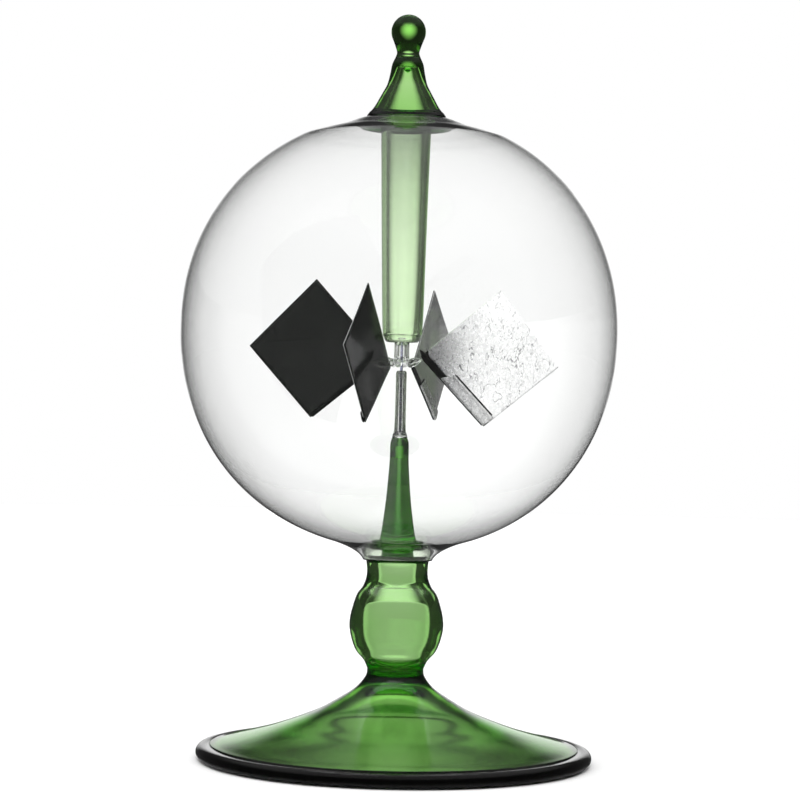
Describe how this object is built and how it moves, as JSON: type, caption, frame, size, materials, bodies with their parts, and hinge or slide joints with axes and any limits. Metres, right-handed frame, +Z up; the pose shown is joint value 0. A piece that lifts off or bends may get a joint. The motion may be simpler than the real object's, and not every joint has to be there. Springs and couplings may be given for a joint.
{
  "type": "radiometer",
  "caption": "Light mill: black and silver diamond vanes turn on a needle point inside a clear blown globe on a green glass pedestal, with a green cap and ball finial.",
  "frame": {"origin": "on the vertical axis, at the level of the ground ring that the foot stands on", "axes": "+Z up along the axis of the glass and of the rotor, +X to the right of the view that shows one foil face, -Y towards that view"},
  "size_m": [0.11, 0.11, 0.1885],
  "materials": {
    "green_glass": "clear bottle-green glass, fire polished",
    "clear_glass": "colourless glass, fire polished",
    "needle_steel": "blued steel",
    "lampblack": "thin sheet with a matt lampblack coat",
    "black_strip": "blackened strip",
    "silver_foil": "crinkled bright foil"
  },
  "bodies": {
    "stand": {"foot": "green_glass", "knop": "green_glass", "globe": "clear_glass", "needle_stem": "green_glass", "needle_holder": "clear_glass", "needle": "needle_steel", "guide_tube": "green_glass", "cap": "green_glass", "finial": "green_glass"},
    "rotor": {"rotor_cup": "clear_glass", "hub_lug_1": "clear_glass", "hub_lug_2": "clear_glass", "hub_lug_3": "clear_glass", "hub_lug_4": "clear_glass", "arm_strip_1": "black_strip", "arm_strip_2": "black_strip", "arm_strip_3": "black_strip", "arm_strip_4": "black_strip", "vane_plate_1": "lampblack", "vane_plate_2": "lampblack", "vane_plate_3": "lampblack", "vane_plate_4": "lampblack", "vane_foil_1": "silver_foil", "vane_foil_2": "silver_foil", "vane_foil_3": "silver_foil", "vane_foil_4": "silver_foil", "vane_hem_1": "silver_foil", "vane_hem_2": "silver_foil", "vane_hem_3": "silver_foil", "vane_hem_4": "silver_foil"}
  },
  "joints": [
    {"name": "rotor_spin", "type": "hinge", "parent": "stand", "child": "rotor", "pos_m": [0, 0, 0.106], "axis": [0, 0, 1], "continuous": true}
  ]
}
